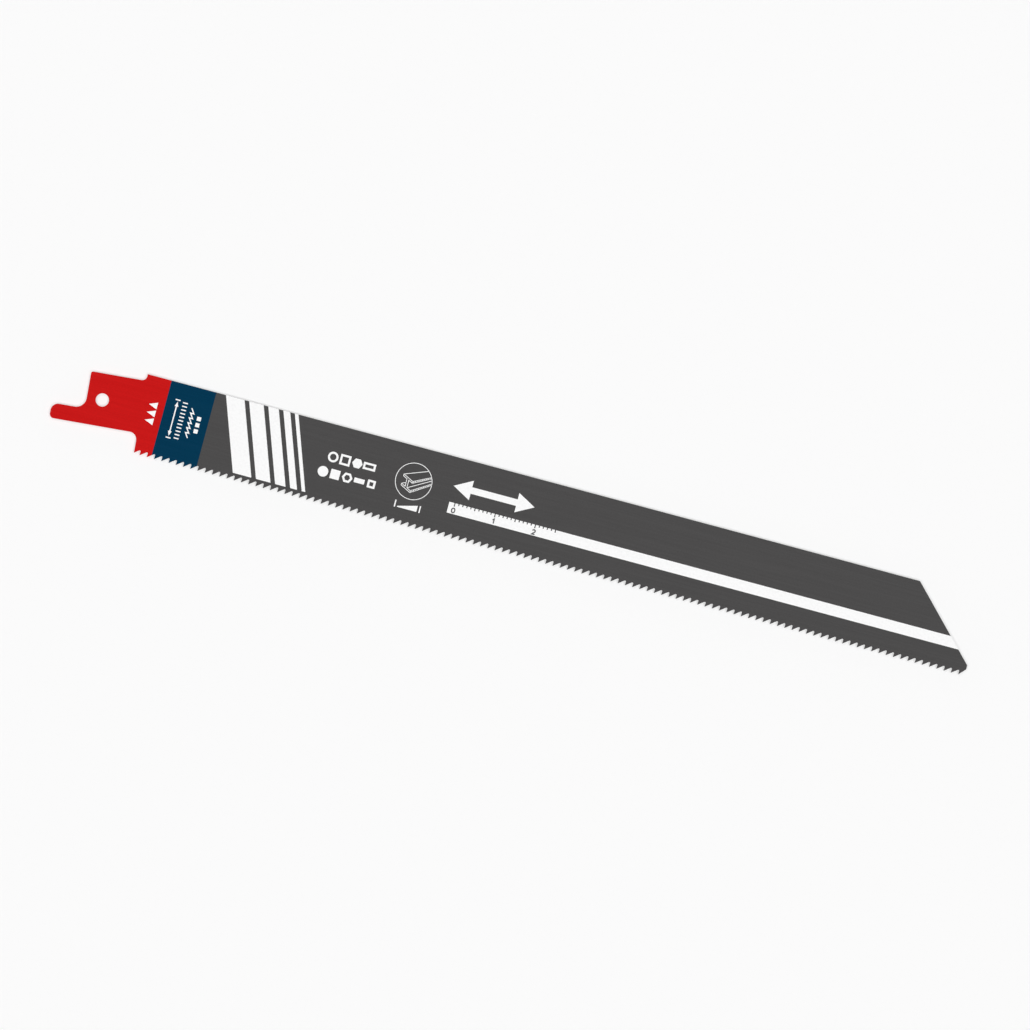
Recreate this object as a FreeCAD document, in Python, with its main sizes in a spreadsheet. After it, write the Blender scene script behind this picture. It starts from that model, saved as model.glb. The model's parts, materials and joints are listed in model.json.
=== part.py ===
import FreeCAD, Part
import math
import os
import Sketcher

# Reciprocating saw blade for metal: one flat strip of steel with a wavy-set toothed edge, a sloping
# nose and a tilted shank that ends in a tang. The blade lies flat. Its origin is the centre of the
# pin hole, half way through the steel. +X runs along the body to the nose, +Y from the teeth to
# the back, and +Z out of the printed face.

# Driving dimensions, in millimetres, degrees and counts.
SIZES = (
    ("stock_thickness", 0.9, "thickness of the steel strip"),
    ("blade_width", 19.3, "tooth tips to the back edge"),
    ("back_height", 8.82, "pin hole up to the back edge"),
    ("nose_reach", 217.0, "pin hole to the blunt end of the nose"),
    ("nose_heel", 1.65, "tooth tips up to the lower corner of the blunt end"),
    ("nose_flat", 1.04, "height of the blunt end"),
    ("nose_slope", 45.8, "angle of the slope from the blunt end up to the back"),
    ("nose_underside", 46.5, "angle of the cut from that corner back to the last tooth"),
    ("nose_rounding", 0.4, "radius of both corners of the blunt end"),
    ("tooth_pitch", 1.8, "tip to tip, 14 teeth to the inch"),
    ("first_tip", 10.25, "pin hole to the tip of the tooth that the lower shoulder cuts"),
    ("rake", 3, "lean of the cutting faces towards the shank"),
    ("relief", 37, "angle of the tooth backs to the line of the tips"),
    ("gullet_radius", 0.24, "round root between two teeth"),
    ("tip_land", 0.05, "flat on each tooth tip"),
    ("tooth_set", 0.2, "greatest sideways set of a tip"),
    ("bend_height", 0.8, "tooth tips up to the line where the set starts"),
    ("wave_teeth", 8, "teeth in one wave of the set"),
    ("pin_hole", 3.2, "diameter of the pin hole"),
    ("shank_tilt", 5, "turn of the shank against the body, about the pin hole"),
    ("shank_width", 12.7, "across the shank"),
    ("shoulder_reach", 9.68, "pin hole forward to both shoulders, along the shank"),
    ("rear_reach", 3.76, "pin hole back to the rear edge above the tang"),
    ("tang_reach", 11.81, "pin hole back to the end of the tang"),
    ("tang_height", 3.65, "across the tang"),
    ("notch_radius", 2.5, "hollow corner between the tang and the rear edge"),
    ("tang_nose_radius", 1.8, "upper corner of the tang"),
    ("tang_heel_radius", 1.0, "lower corner of the tang"),
    ("rear_rounding", 0.5, "upper corner of the rear edge"),
    ("upper_root_radius", 1.25, "hollow corner at the upper shoulder"),
    ("lower_root_radius", 1.85, "hollow corner at the lower shoulder"),
)

# Lines of the body, as heights over the pin hole.
TIP_LINE = "(Sizes.back_height - Sizes.blade_width)"
BEND_LINE = f"({TIP_LINE} + Sizes.bend_height)"
# The strip is toothed in whole waves, from behind the tang to past the nose.
WAVE = "(Sizes.wave_teeth * Sizes.tooth_pitch)"
WAVES_BEHIND = f"ceil((Sizes.tang_reach + Sizes.first_tip) / {WAVE})"
WAVES_AHEAD = f"ceil((Sizes.nose_reach - Sizes.first_tip) / {WAVE})"
STRIP_TIP = f"(Sizes.first_tip - {WAVES_BEHIND} * {WAVE})"
# What a cut reaches past the strip, so that nothing is left outside it.
CLEAR = "Sizes.blade_width"
# Lines of the shank, each half its width from the pin hole, and the top of the tang.
SHANK_TOP = "(Sizes.shank_width / 2)"
SHANK_FOOT = f"(-{SHANK_TOP})"
TANG_TOP = f"({SHANK_FOOT} + Sizes.tang_height)"

doc = FreeCAD.newDocument("SawBlade")
sheet = doc.addObject("Spreadsheet::Sheet", "Sizes")
for row, (alias, value, note) in enumerate(SIZES, start=1):
    sheet.set(f"A{row}", note)
    sheet.set(f"B{row}", str(value))
    sheet.setAlias(f"B{row}", alias)
doc.recompute()

body = doc.addObject("PartDesign::Body", "Blade")
body.Label = "blade"
doc.recompute()


def amount(formula):
    """Number that a formula over the sizes gives now."""
    return float(sheet.evalExpression(formula))


def origin_feature(role):
    """Plane or axis of the blade's own origin."""
    return next(item for item in body.Origin.OriginFeatures if item.Role == role)


def new_sketch(name, plane="XY_Plane", across="0", up="0", out="0", turn="0"):
    """Sketch on an origin plane, shifted along it and off it, and turned about its own origin."""
    sketch = body.newObject("Sketcher::SketchObject", name)
    sketch.AttachmentSupport = (origin_feature(plane), [""])
    sketch.MapMode = "FlatFace"
    for path, formula in (("Base.x", across), ("Base.y", up), ("Base.z", out)):
        sketch.setExpression(f"AttachmentOffset.{path}", formula)
    sketch.setExpression("AttachmentOffset.Rotation.Angle", f"{turn} * 1 deg")
    return sketch


def dimension(sketch, name, kind, references, formula, unit="mm"):
    """Named constraint that follows a formula over the sizes."""
    value = amount(formula)
    if unit == "deg":
        value = FreeCAD.Units.Quantity(f"{value} deg")
    index = sketch.addConstraint(Sketcher.Constraint(kind, *references, value))
    sketch.renameConstraint(index, name)
    sketch.setExpression(f"Constraints.{name}", f"({formula}) * 1 {unit}")


def outline(sketch, corners):
    """Closed loop of lines through corners: two distances from the origin and, if round, a radius."""
    points = [FreeCAD.Vector(amount(across), amount(up), 0) for across, up, *_ in corners]
    for number, point in enumerate(points):
        sketch.addGeometry(Part.LineSegment(points[number - 1], point), False)
    for number, (across, up, *_) in enumerate(corners):
        next_line = (number + 1) % len(corners)
        sketch.addConstraint(Sketcher.Constraint("Coincident", number, 2, next_line, 1))
        dimension(sketch, f"across{number}", "DistanceX", (-1, 1, number, 2), across)
        dimension(sketch, f"up{number}", "DistanceY", (-1, 1, number, 2), up)
    for number, (_, _, *radius) in enumerate(corners):
        if radius:
            sketch.fillet(number, 2, amount(radius[0]), True, True)
            arc = next(
                index
                for index in reversed(range(sketch.GeometryCount))
                if isinstance(sketch.Geometry[index], Part.ArcOfCircle)
            )
            dimension(sketch, f"radius{number}", "Radius", (arc,), radius[0])
    return sketch


def pad(sketch, name, length, both_ways):
    """Solid raised from a sketch."""
    feature = body.newObject("PartDesign::Pad", name)
    feature.Profile = sketch
    feature.SideType = "Symmetric" if both_ways else "One side"
    feature.setExpression("Length", length)
    doc.recompute()
    return feature


def cut(sketch, name):
    """Sketch cut through the whole steel, both ways from its middle."""
    before = body.Shape.Volume
    feature = body.newObject("PartDesign::Pocket", name)
    feature.Profile = sketch
    feature.SideType = "Symmetric"
    feature.Type = "ThroughAll"
    doc.recompute()
    if not feature.Shape.Volume < before:
        raise RuntimeError(f"{name} removes nothing")
    return feature


def repeat(name, spacing, count, originals=()):
    """Features, or the whole shape where none are named, repeated along the edge."""
    pattern = body.newObject("PartDesign::LinearPattern", name)
    if originals:
        pattern.Originals = list(originals)
    else:
        pattern.TransformMode = "Whole shape"
    pattern.Direction = (origin_feature("X_Axis"), [""])
    pattern.Mode = "Spacing"
    pattern.setExpression("Offset", spacing)
    pattern.setExpression("Occurrences", count)
    body.Tip = pattern
    doc.recompute()


def plain_wave():
    """Piece of strip one wave long, down to the line where the set starts."""
    start = f"{STRIP_TIP} - Sizes.tooth_pitch / 4"
    end = f"{start} + {WAVE}"
    corners = (
        (start, BEND_LINE),
        (end, BEND_LINE),
        (end, "Sizes.back_height"),
        (start, "Sizes.back_height"),
    )
    pad(outline(new_sketch("StripProfile"), corners), "Strip", "Sizes.stock_thickness", True)


def set_bands():
    """Band below the bend for each tooth of the wave, pushed aside as far as its tip is set."""
    width = "Sizes.tip_land + Sizes.bend_height / tan(Sizes.relief * 1 deg)"
    half = "Sizes.stock_thickness / 2"
    for number in range(round(amount("Sizes.wave_teeth"))):
        push = f"Sizes.tooth_set * sin(360 deg * {number + 0.5} / Sizes.wave_teeth)"
        corners = (
            (BEND_LINE, f"-{half}"),
            (TIP_LINE, f"{push} - {half}"),
            (TIP_LINE, f"{push} + {half}"),
            (BEND_LINE, half),
        )
        along = f"{STRIP_TIP} + {number} * Sizes.tooth_pitch"
        section = outline(new_sketch(f"BandProfile{number}", "YZ_Plane", out=along), corners)
        pad(section, f"Band{number}", width, False)


def gullet_profile():
    """Space behind a tooth: its sloping back, a round root and the next cutting face."""
    pitch, land, root = (
        amount(f"Sizes.{name}") for name in ("tooth_pitch", "tip_land", "gullet_radius")
    )
    lean, rise = (math.radians(amount(f"Sizes.{name}")) for name in ("rake", "relief"))
    # The root touches both slopes, which gives the height of its centre and then its place along.
    width = pitch - land - root / math.cos(lean)
    height = (width * math.sin(rise) - root) / (math.cos(rise) - math.tan(lean) * math.sin(rise))
    centre = FreeCAD.Vector(pitch + height * math.tan(lean) - root / math.cos(lean), height, 0)
    back_start = FreeCAD.Vector(land, 0, 0)
    back_end = centre + FreeCAD.Vector(-math.sin(rise), math.cos(rise), 0) * root
    face_start = FreeCAD.Vector(pitch, 0, 0)
    face_end = centre + FreeCAD.Vector(math.cos(lean), -math.sin(lean), 0) * root
    circle = Part.Circle(centre, FreeCAD.Vector(0, 0, 1), root)

    sketch = new_sketch("GulletProfile", across=f"{STRIP_TIP} - Sizes.tooth_pitch", up=TIP_LINE)
    back = sketch.addGeometry(Part.LineSegment(back_start, back_end), False)
    face = sketch.addGeometry(Part.LineSegment(face_start, face_end), False)
    mouth = sketch.addGeometry(Part.LineSegment(back_start, face_start), False)
    arc = sketch.addGeometry(Part.ArcOfCircle(circle, -lean, math.pi / 2 + rise), False)
    sketch.addConstraint(Sketcher.Constraint("Coincident", back, 1, mouth, 1))
    sketch.addConstraint(Sketcher.Constraint("Coincident", face, 1, mouth, 2))
    sketch.addConstraint(Sketcher.Constraint("Tangent", back, 2, arc, 2))
    sketch.addConstraint(Sketcher.Constraint("Tangent", face, 2, arc, 1))
    sketch.addConstraint(Sketcher.Constraint("PointOnObject", back, 1, -1))
    sketch.addConstraint(Sketcher.Constraint("PointOnObject", face, 1, -1))
    dimension(sketch, "land", "DistanceX", (-1, 1, back, 1), "Sizes.tip_land")
    dimension(sketch, "pitch", "DistanceX", (-1, 1, face, 1), "Sizes.tooth_pitch")
    dimension(sketch, "relief", "Angle", (back,), "Sizes.relief", "deg")
    dimension(sketch, "face", "Angle", (face,), "90 - Sizes.rake", "deg")
    dimension(sketch, "root", "Radius", (arc,), "Sizes.gullet_radius")
    return sketch


def gullets():
    """Gullets ground through the wave, from the one that its first cutting face ends."""
    first = cut(gullet_profile(), "Gullet")
    repeat("Gullets", "Sizes.tooth_pitch", "Sizes.wave_teeth + 1", (first,))


def nose():
    """Slope, blunt end and underside of the nose, which shortens the last tooth."""
    foot = f"({TIP_LINE} + Sizes.nose_heel)"
    top = f"({foot} + Sizes.nose_flat)"
    above = f"(Sizes.back_height + {CLEAR})"
    below = f"({TIP_LINE} - {CLEAR})"
    far = f"(Sizes.nose_reach + {WAVE} + {CLEAR})"
    corners = (
        (f"Sizes.nose_reach - ({above} - {top}) / tan(Sizes.nose_slope * 1 deg)", above),
        ("Sizes.nose_reach", top, "Sizes.nose_rounding"),
        ("Sizes.nose_reach", foot, "Sizes.nose_rounding"),
        (f"Sizes.nose_reach - ({foot} - {below}) / tan(Sizes.nose_underside * 1 deg)", below),
        (far, below),
        (far, above),
    )
    cut(outline(new_sketch("NoseProfile"), corners), "Nose")


def shank():
    """Shoulders, shank and tang, square to each other, with the pin hole between them."""
    # Steel for a shank that reaches past the edges of the strip.
    corners = (
        ("-Sizes.tang_reach", SHANK_FOOT),
        ("Sizes.shoulder_reach", SHANK_FOOT),
        ("Sizes.shoulder_reach", SHANK_TOP),
        ("-Sizes.tang_reach", SHANK_TOP),
    )
    steel = outline(new_sketch("ShankSteelProfile", turn="Sizes.shank_tilt"), corners)
    pad(steel, "ShankSteel", "Sizes.stock_thickness", True)
    around = f"(Sizes.tang_reach + {WAVE} + {CLEAR})"
    corners = (
        ("Sizes.shoulder_reach", f"-{around}"),
        ("Sizes.shoulder_reach", SHANK_FOOT, "Sizes.lower_root_radius"),
        ("-Sizes.tang_reach", SHANK_FOOT, "Sizes.tang_heel_radius"),
        ("-Sizes.tang_reach", TANG_TOP, "Sizes.tang_nose_radius"),
        ("-Sizes.rear_reach", TANG_TOP, "Sizes.notch_radius"),
        ("-Sizes.rear_reach", SHANK_TOP, "Sizes.rear_rounding"),
        ("Sizes.shoulder_reach", SHANK_TOP, "Sizes.upper_root_radius"),
        ("Sizes.shoulder_reach", around),
        (f"-{around}", around),
        (f"-{around}", f"-{around}"),
    )
    sketch = outline(new_sketch("ShankProfile", turn="Sizes.shank_tilt"), corners)
    radius = "Sizes.pin_hole / 2"
    edge = Part.Circle(FreeCAD.Vector(0, 0, 0), FreeCAD.Vector(0, 0, 1), amount(radius))
    hole = sketch.addGeometry(edge, False)
    sketch.addConstraint(Sketcher.Constraint("Coincident", hole, 3, -1, 1))
    dimension(sketch, "hole", "Radius", (hole,), radius)
    cut(sketch, "Shank")


plain_wave()
set_bands()
gullets()
repeat("Waves", WAVE, f"{WAVES_BEHIND} + {WAVES_AHEAD}")
nose()
shank()

for item in doc.Objects:
    if "Invalid" in item.State or "Error" in item.State:
        raise RuntimeError(f"{item.Name} failed: {item.State}")
shape = body.Shape
if shape.isNull() or not shape.isValid() or len(shape.Solids) != 1:
    raise RuntimeError("the blade is not one valid solid")
os.makedirs("parts", exist_ok=True)
shape.exportStep(f"parts/{body.Label}.step")
print(f"{body.Label}: {shape.Volume:.1f} cubic millimetres, {len(shape.Faces)} faces")
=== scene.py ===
import json
import math

import bpy
import numpy as np
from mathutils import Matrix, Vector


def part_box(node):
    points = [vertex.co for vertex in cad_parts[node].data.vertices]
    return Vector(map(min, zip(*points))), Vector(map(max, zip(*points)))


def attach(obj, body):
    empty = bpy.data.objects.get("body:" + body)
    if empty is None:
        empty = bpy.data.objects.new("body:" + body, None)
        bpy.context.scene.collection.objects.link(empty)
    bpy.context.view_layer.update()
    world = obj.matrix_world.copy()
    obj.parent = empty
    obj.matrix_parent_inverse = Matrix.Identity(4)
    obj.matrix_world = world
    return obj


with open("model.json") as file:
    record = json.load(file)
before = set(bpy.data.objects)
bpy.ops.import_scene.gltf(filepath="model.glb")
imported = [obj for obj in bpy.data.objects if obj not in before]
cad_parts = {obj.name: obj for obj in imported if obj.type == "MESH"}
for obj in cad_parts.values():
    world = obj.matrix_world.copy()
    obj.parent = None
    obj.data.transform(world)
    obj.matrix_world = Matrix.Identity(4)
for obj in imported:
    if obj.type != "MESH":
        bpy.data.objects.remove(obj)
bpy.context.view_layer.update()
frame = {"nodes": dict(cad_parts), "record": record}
print("frame loaded")

# All sizes here are millimetres from the pin hole, +X to the nose, +Y to the back edge and +Z out
# of the printed face. They become metres when a mesh, a texture or the camera is made.
mm = 0.001
mounts = {mount["name"]: mount for mount in frame["record"]["mounts"]}
bladeLow, bladeHigh = (np.array(corner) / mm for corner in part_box("blade"))
faceTop = mounts["printed_face"]["pos_m"][2] / mm
backEdge = bladeHigh[1]


# Linear numbers of an sRGB hex colour: a straight share near black, and above it a power of 2.4.
def linear(hexColour):
    share = np.array([int(hexColour[at:at + 2], 16) for at in (1, 3, 5)]) / 255
    curve = np.where(share <= 0.04045, share / 12.92, ((share + 0.055) / 1.055) ** 2.4)
    return (*curve.tolist(), 1.0)


# Adds a node: an input takes a number, a colour or another node's output, a setting goes on the node.
def addNode(tree, kind, inputs=None, **settings):
    node = tree.nodes.new("ShaderNode" + kind)
    for name, value in settings.items():
        setattr(node, name, value)
    for name, value in (inputs or {}).items():
        if isinstance(value, bpy.types.NodeSocket):
            tree.links.new(value, node.inputs[name])
        else:
            node.inputs[name].default_value = value
    return node


# An empty material, ready for its nodes.
def newMaterial(name):
    material = bpy.data.materials.new(name)
    material.use_nodes = True
    material.node_tree.nodes.clear()
    return material


coat = {
    "red": "#CD1717",
    "blue": "#003753",
    "grey": "#4F4E4E",
    "redEnd": 14.87,  # the two borders run square across the body
    "blueEnd": 26.02,
    "borderBlur": 0.03,  # the mask leaves a crisp edge
    # length, width and depth of the rolling lines, really finer, drawn as coarse as they need to show
    "lines": (20.0, 0.28, 0.28),
    "lineDepth": 0.002,
    "lineSpan": (0.3, 0.7),  # what their noise mostly keeps to
    "peel": 1.4,  # waves in the sprayed skin
    "peelDepth": 0.005,
    "fleck": 0.4,  # pigment grain, really about 0.05, drawn as coarse as it needs to show
    "mottleSpan": (0.7, 1.3),  # what lines and flecks mostly add up to
    "shade": (0.94, 1.06),
    "roughness": (0.09, 0.13),
    "ior": 1.5,
}


# Lacquer sprayed and baked on rolled strip steel: an even colour with a soft gloss, a faint orange
# peel in it, and the lengthwise lines of the steel just showing through.
def sprayedLacquer():
    material = newMaterial("sprayed_lacquer")
    tree = material.node_tree
    place = addNode(tree, "TexCoord").outputs["Object"]
    along = addNode(tree, "SeparateXYZ", {0: place}).outputs["X"]

    colour = linear(coat["red"])
    for border, following in (("redEnd", "blue"), ("blueEnd", "grey")):
        past = addNode(tree, "MapRange", {
            "Value": along,
            "From Min": (coat[border] - coat["borderBlur"]) * mm,
            "From Max": (coat[border] + coat["borderBlur"]) * mm,
        })
        # Of the mix node's sockets, 6 and 7 take the two colours and output 2 gives their mixture.
        fields = {0: past.outputs[0], 6: colour, 7: linear(coat[following])}
        colour = addNode(tree, "Mix", fields, data_type="RGBA").outputs[2]

    linesPerMetre = [1 / (size * mm) for size in coat["lines"]]
    stretched = addNode(tree, "Mapping", {"Vector": place, "Scale": linesPerMetre})
    lines = addNode(tree, "TexNoise", {"Vector": stretched.outputs[0], "Scale": 1.0, "Detail": 2.0})
    peel = addNode(tree, "TexNoise", {"Vector": place, "Scale": 1 / (coat["peel"] * mm), "Detail": 1.0})
    fleck = addNode(tree, "TexNoise", {"Vector": place, "Scale": 1 / (coat["fleck"] * mm), "Detail": 3.0})

    mottle = addNode(tree, "Math", {0: lines.outputs[0], 1: fleck.outputs[0]}, operation="ADD")
    shade = addNode(tree, "MapRange", {
        "Value": mottle.outputs[0],
        "From Min": coat["mottleSpan"][0],
        "From Max": coat["mottleSpan"][1],
        "To Min": coat["shade"][0],
        "To Max": coat["shade"][1],
    })
    tinted = addNode(tree, "HueSaturation", {"Value": shade.outputs[0], "Color": colour})
    gloss = addNode(tree, "MapRange", {
        "Value": lines.outputs[0],
        "From Min": coat["lineSpan"][0],
        "From Max": coat["lineSpan"][1],
        "To Min": coat["roughness"][0],
        "To Max": coat["roughness"][1],
    })
    lineBump = addNode(tree, "Bump", {"Height": lines.outputs[0], "Distance": coat["lineDepth"] * mm})
    skinBump = addNode(tree, "Bump", {
        "Height": peel.outputs[0],
        "Distance": coat["peelDepth"] * mm,
        "Normal": lineBump.outputs[0],
    })
    shader = addNode(tree, "BsdfPrincipled", {
        "Base Color": tinted.outputs[0],
        "Roughness": gloss.outputs[0],
        "IOR": coat["ior"],
        "Normal": skinBump.outputs[0],
    })
    addNode(tree, "OutputMaterial", {"Surface": shader.outputs[0]})
    return material


ink = {
    "white": "#FCFCFC",
    "dark": "#4D4C4C",
    "thickness": 0.02,  # stands on the lacquer
    "seat": 0.01,  # reaches into the lacquer, so that no gap shows under it
    "screen": 0.5,  # mesh of the printing screen, really 0.2, drawn as coarse as it needs to show
    "screenDepth": 0.003,
    "patch": 0.6,  # places where it lies thinner
    "patchSpan": (0.35, 0.55),  # what of their noise counts as thinner
    "shade": (0.965, 1.0),
    "roughness": 0.5,
    "ior": 1.5,
}


# Screen-printed ink, cured matt: full cover with a faint weave from the screen and thinner patches.
def screenInk(name, hexColour):
    material = newMaterial(name)
    tree = material.node_tree
    place = addNode(tree, "TexCoord").outputs["Object"]
    patches = addNode(tree, "TexNoise", {"Vector": place, "Scale": 1 / (ink["patch"] * mm), "Detail": 3.0})
    shade = addNode(tree, "MapRange", {
        "Value": patches.outputs[0],
        "From Min": ink["patchSpan"][0],
        "From Max": ink["patchSpan"][1],
        "To Min": ink["shade"][0],
        "To Max": ink["shade"][1],
    })
    tinted = addNode(tree, "HueSaturation", {"Value": shade.outputs[0], "Color": linear(hexColour)})
    # A wave texture at scale 1 repeats every 2 pi / 20 of a unit.
    weave = addNode(tree, "TexWave", {
        "Vector": place,
        "Scale": 2 * math.pi / 20 / (ink["screen"] * mm),
    }, bands_direction="DIAGONAL")
    bump = addNode(tree, "Bump", {"Height": weave.outputs[1], "Distance": ink["screenDepth"] * mm})
    shader = addNode(tree, "BsdfPrincipled", {
        "Base Color": tinted.outputs[0],
        "Roughness": ink["roughness"],
        "IOR": ink["ior"],
        "Normal": bump.outputs[0],
    })
    addNode(tree, "OutputMaterial", {"Surface": shader.outputs[0]})
    return material


coatMaterial = sprayedLacquer()
whiteInk = screenInk("white_screen_ink", ink["white"])
darkInk = screenInk("grey_screen_ink", ink["dark"])
blade = frame["nodes"]["blade"]
blade.data.materials.clear()
blade.data.materials.append(coatMaterial)
print("blade coated")


# Places of a row of marks about its middle: their numbers less half of the last one, times the pitch.
def row(count, pitch):
    return (np.arange(count) - (count - 1) / 2) * pitch


# Loop of points round the origin: the radius times cosine and sine of even steps of the angle. With
# few sides it is a plain polygon.
def ring(radius, sides=96):
    angle = 2 * np.pi * np.arange(sides) / sides
    return radius * np.stack([np.cos(angle), np.sin(angle)], axis=1)


# Loop of a rectangle's corners: half of its width and height to each side of the origin.
def block(width, height):
    return np.array([(-1, -1), (1, -1), (1, 1), (-1, 1)]) * (width / 2, height / 2)


# Outline of an arrow with a head at both ends, along X: five corners of the right half, and the same
# five with both signs changed.
def doubleArrow(length, shaft, headLength, headWidth):
    tip = length / 2
    neck = tip - headLength
    right = [(neck, -shaft / 2), (neck, -headWidth / 2), (tip, 0), (neck, headWidth / 2), (neck, shaft / 2)]
    return np.concatenate([right, np.negative(right)])


# Turns points a quarter turn to the left, so that x, y becomes -y, x, and moves them to a centre.
def readingUp(points, centre):
    points = np.asarray(points, float)
    return np.c_[-points[:, 1], points[:, 0]] + centre


# Heights of the under and upper side of a film of ink, for the nth layer counted from nought.
def filmHeights(layer):
    under = faceTop - ink["seat"] + layer * ink["thickness"]
    return under, faceTop + (layer + 1) * ink["thickness"]


# Film over an outline: the outline swept straight up between two heights, and closed by both faces.
# The sum of x times the next y less y times the next x is twice the area. Where it is negative the
# outline runs clockwise and is turned round, so that the faces point outwards.
def inkPatch(outline, layer=0):
    under, upper = filmHeights(layer)
    count = len(outline)
    ahead = np.roll(outline, -1, axis=0)
    area = np.sum(outline[:, 0] * ahead[:, 1] - outline[:, 1] * ahead[:, 0])
    outline = outline if area > 0 else outline[::-1]
    points = np.concatenate([np.c_[outline, np.full(count, height)] for height in (under, upper)])
    low = np.arange(count)
    following = np.roll(low, -1)
    walls = np.stack([low, following, following + count, low + count], axis=1)
    return points, [walls, low[None, ::-1], low[None] + count]


# Film along a path: a flat rectangle carried along it. At each point it reaches half the width to
# either side, along the mitre of the steps into and out of that point.
def inkLine(path, width, closed=False, layer=0):
    under, upper = filmHeights(layer)
    path = np.asarray(path, float)
    into = path - np.roll(path, 1, axis=0)
    out = np.roll(path, -1, axis=0) - path
    if not closed:
        into[0] = out[0]
        out[-1] = into[-1]
    into /= np.linalg.norm(into, axis=1)[:, None]
    out /= np.linalg.norm(out, axis=1)[:, None]
    bend = 1 + np.sum(into * out, axis=1)
    left = np.c_[-(into + out)[:, 1], (into + out)[:, 0]] / bend[:, None] * width / 2
    corners = [(left, under), (-left, under), (-left, upper), (left, upper)]
    points = np.stack([np.c_[path + side, np.full(len(path), height)] for side, height in corners], axis=1)
    index = np.arange(points.shape[0] * 4).reshape(-1, 4)
    following = np.roll(index, -1, axis=0)
    here = index if closed else index[:-1]
    there = following if closed else following[:-1]
    walls = np.stack([here, there, np.roll(there, -1, axis=1), np.roll(here, -1, axis=1)], axis=2)
    caps = [] if closed else [index[:1], index[-1:, ::-1]]
    return points.reshape(-1, 3), [walls.reshape(-1, 4), *caps]


# One mesh of all the films of a print, riding on the blade.
def printPiece(name, films, material):
    starts = np.cumsum([0] + [len(points) for points, _ in films])
    faces = []
    for (_, groups), start in zip(films, starts):
        for group in groups:
            faces += (group + start).tolist()
    mesh = bpy.data.meshes.new(name)
    mesh.from_pydata(np.concatenate([points for points, _ in films]) * mm, [], faces)
    mesh.materials.append(material)
    piece = bpy.data.objects.new(name, mesh)
    bpy.context.scene.collection.objects.link(piece)
    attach(piece, "root")


insertArrows = {"centre": (12.1, 0.05), "count": 3, "pitch": 1.95, "reach": 2.1, "width": 1.65}


# Three arrowheads in a column, which point to the end that goes into the saw.
def makeInsertArrows():
    size = insertArrows
    reach, half = size["reach"] / 2, size["width"] / 2
    head = np.array([(reach, -half), (reach, half), (-reach, 0)]) + size["centre"]
    films = [inkPatch(head + (0, rise)) for rise in row(size["count"], size["pitch"])]
    printPiece("print_insert_arrows", films, whiteInk)


sizeMarks = {
    "middle": 0.05,
    "line": 0.28,
    "columns": (17.6, 19.5, 21.7, 23.6),
    "lengths": (9.6, 9.0, 7.2, 4.6),
    "height": 1.2,  # of the ticks and the dashes
    "arrowHead": (1.2, 0.9),
    "dashes": 11,
    "teeth": 6,
    "toothHeight": 0.8,
    "squares": 3,
    "square": 1.0,
}


# Four lines that read up the band: a length between ticks, a row of dashes, saw teeth and squares.
def makeSizeMarks():
    size = sizeMarks
    line, half = size["line"], size["height"] / 2
    columns = [(column, size["middle"]) for column in size["columns"]]
    length, dashRow, toothRow, squareRow = size["lengths"]

    # A line's width is left free between each head of the arrow and its tick.
    arrow = doubleArrow(length - 4 * line, line, *size["arrowHead"])
    films = [inkPatch(readingUp(arrow, columns[0]))]
    ticks, dashes = row(2, length - line), row(size["dashes"], (dashRow - line) / (size["dashes"] - 1))
    for column, places in zip(columns, (ticks, dashes)):
        films += [inkLine(readingUp([(at, -half), (at, half)], column), line) for at in places]

    # Each tooth climbs over one pitch and drops straight down.
    pitch, rise = toothRow / size["teeth"], size["toothHeight"] / 2
    starts = np.arange(size["teeth"])[:, None, None] * (pitch, 0) - (toothRow / 2, 0)
    teeth = (starts + [(0, -rise), (pitch, rise)]).reshape(-1, 2)
    films.append(inkLine(readingUp(teeth, columns[2]), line))

    square = block(size["square"], size["square"])
    for at in row(size["squares"], squareRow / size["squares"]):
        films.append(inkPatch(readingUp(square + (at, 0), columns[3])))
    printPiece("print_size_marks", films, whiteInk)


bars = {
    "start": 28.4,
    "widths": (4.6, 3.6, 2.6, 1.7, 0.9),
    "gap": 1.15,
    "lean": 20,
    "low": -8.75,  # clear of the gullets
    "inset": 0.01,  # from the back edge
}


# Bold bars across the body, each slimmer than the last, leaning to the same side as the nose.
def makeBars():
    low, high = bars["low"], backEdge - bars["inset"]
    shift = (high - low) * math.tan(math.radians(bars["lean"]))
    widths = np.array(bars["widths"])
    left = bars["start"] + np.concatenate([[0], np.cumsum(widths + bars["gap"])[:-1]])
    films = [
        inkPatch(np.array([(x + shift, low), (x + shift + width, low), (x + width, high), (x, high)]))
        for x, width in zip(left, widths)
    ]
    printPiece("print_bars", films, whiteInk)


sections = {
    "centre": 61.6,
    "rows": (1.12, -2.82),
    "pitch": 3.0,
    "height": 2.55,
    "line": 0.5,
    # shares of the height, which for a tube is taken between the middles of its walls
    "flatTube": (1.25, 0.6),
    "squareBar": 0.9,
    "flatBar": 0.45,
    "smallTube": 0.7,
}


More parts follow.
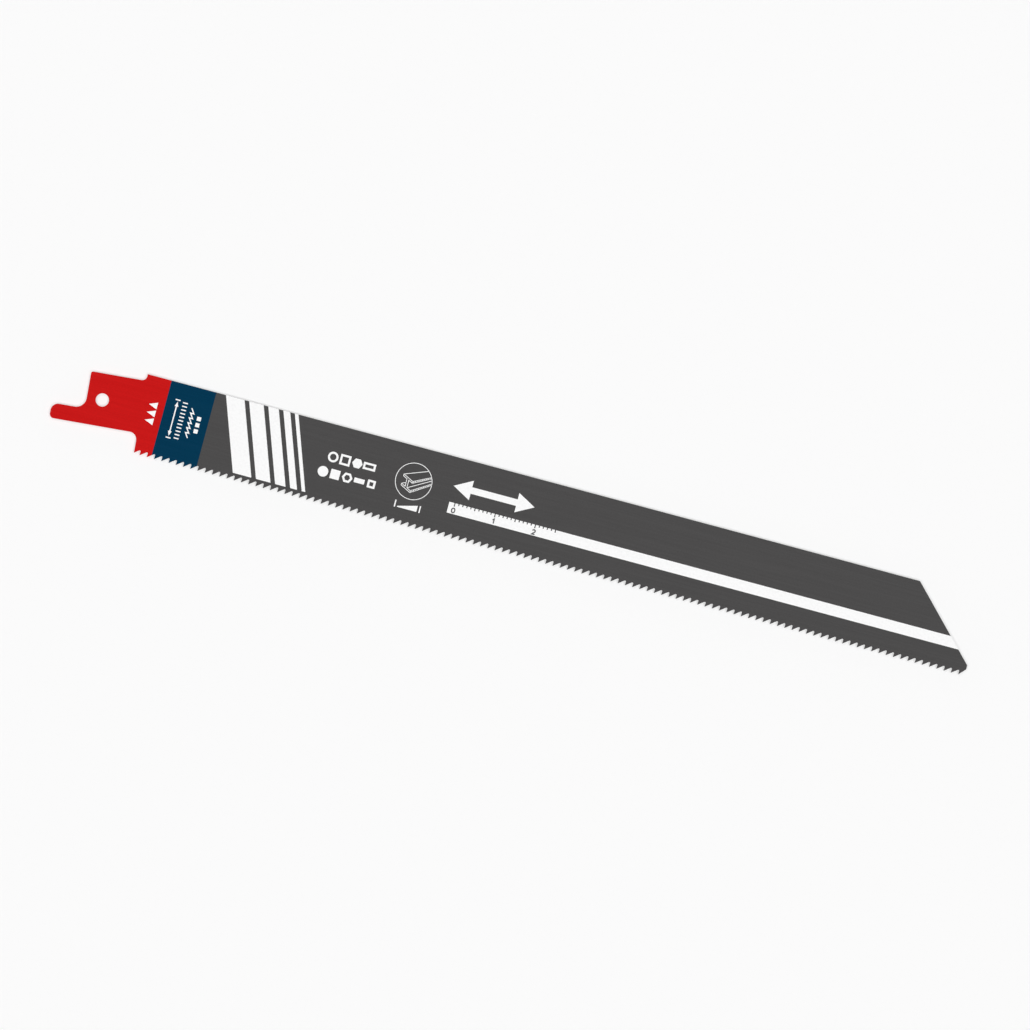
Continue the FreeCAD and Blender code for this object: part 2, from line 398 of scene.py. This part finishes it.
# Two rows of the ends of metal stock: tube, square tube, hexagon bar, flat tube, then round bar,
# square bar, hexagon tube, flat bar and a small square tube. A bar is a patch of ink, and a tube is
# a line along the middle of its wall.
def makeSections():
    size = sections
    full = size["height"]
    midWall = full - size["line"]
    barSide, tubeSide = full * size["squareBar"], midWall * size["smallTube"]
    shapes = [
        [
            ("tube", ring(midWall / 2)),
            ("tube", block(midWall, midWall)),
            ("bar", ring(full / 2, 6)),
            ("tube", block(*(midWall * share for share in size["flatTube"]))),
        ],
        [
            ("bar", ring(full / 2)),
            ("bar", block(barSide, barSide)),
            ("tube", ring(midWall / 2, 6)),
            ("bar", block(full, full * size["flatBar"])),
            ("tube", block(tubeSide, tubeSide)),
        ],
    ]
    films = []
    for inRow, height in zip(shapes, size["rows"]):
        for (kind, outline), across in zip(inRow, size["centre"] + row(len(inRow), size["pitch"])):
            outline = outline + (across, height)
            films.append(inkPatch(outline) if kind == "bar" else inkLine(outline, size["line"], True))
    printPiece("print_sections", films, whiteInk)


badge = {
    "centre": (77.26, 0.47),
    "radius": 4.41,
    "line": 0.15,
    "end": (-1.45, -0.85),  # middle of the beam's near end, from the centre
    "width": 2.5,
    "height": 2.72,
    "slope": 26,  # degrees that the flanges of the near end fall to the right
    "flange": 0.43,
    "web": 0.5,
    "vanish": (17.5, 8.8),  # where the beam's edges would meet, from the centre
    "hatches": 9,  # on the front of each flange
    "hatchLean": 0.09,  # share of an edge by which a hatch's foot is ahead
}


# A ring with a steel beam in it: the end of the beam as a slanted outline, edges that run to the ring
# as if to one far point, and hatched fronts on both flanges. The slant lowers a corner by its distance
# to the right times the tangent of the slope. An edge is as long as makes its far end lie one radius
# from the centre.
def makeBadge():
    size = badge
    centre, line = np.array(size["centre"]), size["line"]
    side, top = size["width"] / 2, size["height"] / 2
    under, web = top - size["flange"], size["web"] / 2
    slant = np.array([(1, -math.tan(math.radians(size["slope"]))), (0, 1)])
    quarter = np.array([(side, top), (side, under), (web, under)])
    right = np.concatenate([quarter, (quarter * (1, -1))[::-1]])
    outline = np.concatenate([right, (right * (-1, 1))[::-1]]) @ slant + size["end"]
    films = [inkLine(loop + centre, line, True) for loop in (ring(size["radius"]), outline)]

    corners = [(-side, top), (side, top), (side, under), (web, -under), (side, -under), (side, -top)]
    edges = []
    for start in np.array(corners) @ slant + size["end"]:
        run = (size["vanish"] - start) / np.linalg.norm(size["vanish"] - start)
        along = start @ run
        reach = math.sqrt(along ** 2 - start @ start + size["radius"] ** 2) - along
        edges.append(np.array([start, start + run * reach]) + centre)
    films += [inkLine(edge, line) for edge in edges]

    # The far edge of the lower flange shows only up to the web.
    start = np.array((-side, -under)) @ slant + size["end"]
    behind = start + (size["vanish"] - start) * (side - web) / (size["vanish"][0] - start[0])
    films.append(inkLine([start + centre, behind + centre], line))

    for upper, lower in ((edges[1], edges[2]), (edges[4], edges[5])):
        for at in np.linspace(0, 1 - size["hatchLean"], size["hatches"]):
            head = upper[0] + (upper[1] - upper[0]) * at
            foot = lower[0] + (lower[1] - lower[0]) * (at + size["hatchLean"])
            films.append(inkLine([head, foot], line))
    printPiece("print_beam_badge", films, whiteInk)


wedge = {
    "centre": (77.35, -5.7),
    "length": 6.4,
    "thin": 0.25,
    "thick": 1.5,
    "tick": 1.7,
    "line": 0.3,
    "gap": 0.5,
}


# A wedge between two ticks: from thin stock to thick.
def makeWedge():
    size = wedge
    end = size["length"] / 2 - size["line"] - size["gap"]
    low, half = -size["thick"] / 2, size["tick"] / 2
    outline = np.array([(-end, low), (end, low), (end, low + size["thick"]), (-end, low + size["thin"])])
    films = [inkPatch(outline + size["centre"])]
    for at in row(2, size["length"] - size["line"]):
        films.append(inkLine(np.array([(at, -half), (at, half)]) + size["centre"], size["line"]))
    printPiece("print_thickness_wedge", films, whiteInk)


strokeArrow = {"centre": (96.85, 1.95), "length": 20.1, "shaft": 1.6, "headLength": 4.4, "headWidth": 4.8}


# A bold arrow with two heads: the saw's back and forth stroke.
def makeStrokeArrow():
    size = strokeArrow
    outline = doubleArrow(size["length"], size["shaft"], size["headLength"], size["headWidth"])
    printPiece("print_stroke_arrow", [inkPatch(outline + size["centre"])], whiteInk)


stripe = {"start": 86.8, "top": -2.02, "bottom": -4.68}


# A long stripe whose far end is cut off by the slope of the nose. The slope is the line that leaves
# the far corner of the back edge and runs out farthest for its drop.
def makeStripe():
    points = np.empty(len(blade.data.vertices) * 3)
    blade.data.vertices.foreach_get("co", points)
    along, across, _ = points.reshape(-1, 3).T / mm
    nearBack = across > backEdge - 0.01
    corner = along[nearBack].max()
    slope = ((along - corner)[~nearBack] / (backEdge - across[~nearBack])).max()
    start, top, bottom = stripe["start"], stripe["top"], stripe["bottom"]
    topEnd, bottomEnd = (corner + (backEdge - height) * slope for height in (top, bottom))
    outline = np.array([(start, bottom), (bottomEnd, bottom), (topEnd, top), (start, top)])
    printPiece("print_stripe", [inkPatch(outline)], whiteInk)


scale = {
    "zero": 88.2,
    "length": 25,
    "ticks": {1: 0.45, 5: 0.65, 10: 0.85},  # every so many millimetres, how long a tick
    "tickLine": 0.28,
    "digit": (0.78, 1.1),
    "digitLine": 0.3,
    "digitMiddle": -3.82,
}


# The digits 0, 1 and 2 as paths in a box one wide and one high, and whether a path is closed: a
# circle, a flag on an upright, and an elliptic bow that ends in a foot.
def digitPath(number):
    if number == 0:
        return ring(0.5, 32) + 0.5, True
    if number == 1:
        return np.array([(0.15, 0.75), (0.6, 1.0), (0.6, 0.0)]), False
    angle = np.radians(np.linspace(170, -45, 16))
    bow = np.c_[0.5 + 0.42 * np.cos(angle), 0.7 + 0.3 * np.sin(angle)]
    return np.concatenate([bow, [(0.05, 0.0), (1.0, 0.0)]]), False


# A centimetre scale in the body's grey, on the near end of the stripe.
def makeScale():
    size, top = scale, stripe["top"]
    films = []
    for step in range(size["length"] + 1):
        at = size["zero"] + step
        tick = max(length for every, length in size["ticks"].items() if step % every == 0)
        films.append(inkLine([(at, top), (at, top - tick)], size["tickLine"], layer=1))
        if step % 10 == 0:
            path, closed = digitPath(step // 10)
            path = (path - 0.5) * size["digit"] + (at, size["digitMiddle"])
            films.append(inkLine(path, size["digitLine"], closed, layer=1))
    printPiece("print_scale", films, darkInk)


makeInsertArrows()
makeSizeMarks()
makeBars()
makeSections()
makeBadge()
makeWedge()
makeStrokeArrow()
makeStripe()
makeScale()
print("prints laid on the face")

floor = {
    "colour": "#FDFDFD",
    "reach": 6000.0,  # to each side
    "fibre": 0.8,
    "shade": (0.99, 1.0),
    "seen": 0.5,  # share of its plain colour in what is seen of it
}


# Matt white paper, as a sheet under the blade: one even tone with a trace of fibre. What is seen of
# it, straight, mirrored or through glass, is half its plain colour, so its shadows are lighter. The
# diffuse light that it throws back on the blade stays that of the paper alone.
def makeFloor():
    material = newMaterial("matt_paper")
    tree = material.node_tree
    place = addNode(tree, "TexCoord").outputs["Object"]
    fibre = addNode(tree, "TexNoise", {"Vector": place, "Scale": 1 / (floor["fibre"] * mm), "Detail": 2.0})
    shade = addNode(tree, "MapRange", {
        "Value": fibre.outputs[0],
        "To Min": floor["shade"][0],
        "To Max": floor["shade"][1],
    })
    tinted = addNode(tree, "HueSaturation", {"Value": shade.outputs[0], "Color": linear(floor["colour"])})
    paper = addNode(tree, "BsdfDiffuse", {"Color": tinted.outputs[0]})
    rays = addNode(tree, "LightPath").outputs
    seen = rays["Is Camera Ray"]
    for other in ("Is Glossy Ray", "Is Transmission Ray"):
        seen = addNode(tree, "Math", {0: seen, 1: rays[other]}, operation="MAXIMUM").outputs[0]
    share = addNode(tree, "Math", {0: seen, 1: floor["seen"]}, operation="MULTIPLY")
    plain = addNode(tree, "Emission", {"Color": linear(floor["colour"]), "Strength": 1.0})
    both = addNode(tree, "MixShader", {0: share.outputs[0], 1: paper.outputs[0], 2: plain.outputs[0]})
    addNode(tree, "OutputMaterial", {"Surface": both.outputs[0]})
    material.cycles.emission_sampling = "NONE"
    corners = np.c_[block(2, 2) * floor["reach"], np.full(4, bladeLow[2])]
    mesh = bpy.data.meshes.new("floor")
    mesh.from_pydata(corners * mm, [], [(0, 1, 2, 3)])
    mesh.materials.append(material)
    sheet = bpy.data.objects.new("floor", mesh)
    bpy.context.scene.collection.objects.link(sheet)


studio = {
    # bearing, elevation and width of the light's disc in degrees, and its share of a full light level
    "suns": ((-140, 66, 14, 0.274), (-40, 66, 14, 0.274), (140, 66, 14, 0.17), (40, 66, 14, 0.17)),
    "horizon": 0.95,
    "zenith": 0.03,
    "band": (0.1, 0.35),  # heights of the sky, 0 to 1, between which the white backdrop fades out
}


# Four soft lamps high up round the blade, stronger on the side of the teeth, a white backdrop low
# down all round and a dark ceiling. A lamp gives level paper its share of white: pi times the share,
# over the sine of its elevation.
def makeStudio():
    for number, (bearing, elevation, width, share) in enumerate(studio["suns"]):
        lamp = bpy.data.lights.new(f"sun_{number}", "SUN")
        lamp.angle = math.radians(width)
        lamp.energy = math.pi * share / math.sin(math.radians(elevation))
        sun = bpy.data.objects.new(lamp.name, lamp)
        sun.rotation_euler = (math.radians(90 - elevation), 0, math.radians(bearing + 90))
        bpy.context.scene.collection.objects.link(sun)

    world = bpy.data.worlds.new("studio")
    world.use_nodes = True
    world.node_tree.nodes.clear()
    tree = world.node_tree
    up = addNode(tree, "SeparateXYZ", {0: addNode(tree, "TexCoord").outputs["Generated"]}).outputs["Z"]
    level = addNode(tree, "MapRange", {
        "Value": up,
        "From Min": studio["band"][0],
        "From Max": studio["band"][1],
        "To Min": studio["horizon"],
        "To Max": studio["zenith"],
    }, interpolation_type="SMOOTHSTEP")
    sky = addNode(tree, "Background", {"Color": linear("#FFFFFF"), "Strength": level.outputs[0]})
    addNode(tree, "OutputWorld", {"Surface": sky.outputs[0]})
    bpy.context.scene.world = world


view = {
    "centre": (102.83, -1.03),
    "turn": 15,  # degrees that the blade lies turned clockwise
    "width": 247.2,  # what the picture spans on the printed face
    "height": 1600.0,  # of the lens above that face
    "farthest": 100000.0,  # what the lens still sees
}


# Looks straight down on the printed face, turned so that the blade lies as in the picture. Its
# focal length is to its sensor as its height is to the width that it spans.
def makeCamera():
    lens = bpy.data.cameras.new("camera")
    lens.lens = lens.sensor_width * view["height"] / view["width"]
    lens.clip_end = view["farthest"] * mm
    camera = bpy.data.objects.new("camera", lens)
    camera.location = np.array((*view["centre"], faceTop + view["height"])) * mm
    camera.rotation_euler = (0, 0, math.radians(view["turn"]))
    bpy.context.scene.collection.objects.link(camera)
    bpy.context.scene.camera = camera


makeFloor()
makeStudio()
makeCamera()
bpy.context.scene.view_settings.view_transform = "Standard"
print("studio set")
